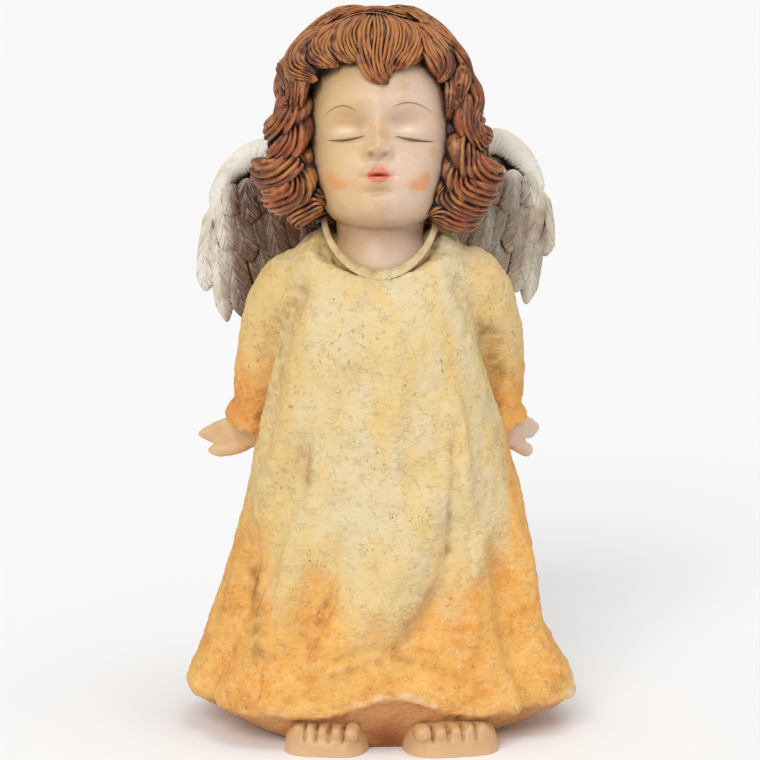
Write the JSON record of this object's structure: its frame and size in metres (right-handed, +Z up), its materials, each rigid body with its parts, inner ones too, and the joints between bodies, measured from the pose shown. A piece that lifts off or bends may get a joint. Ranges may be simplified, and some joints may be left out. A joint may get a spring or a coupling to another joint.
{
  "type": "guardian angel figurine",
  "caption": "Painted cast figurine of a standing child angel in a long flared robe, with curly hair, folded wings and bare feet; stands by its own weight as an ornament.",
  "frame": {"origin": "middle of the box around the figurine, on the surface it stands on", "axes": "+Z up, the figurine faces -Y, and its left hand is at +X"},
  "size_m": [0.2179, 0.1479, 0.398],
  "materials": {
    "painted_resin": "matt hand-painted cast resin, crackled on the robe, with a reddish brown head of hair, pale skin and off-white wings"
  },
  "bodies": {
    "root": {"angel_figurine": "painted_resin"}
  },
  "joints": []
}
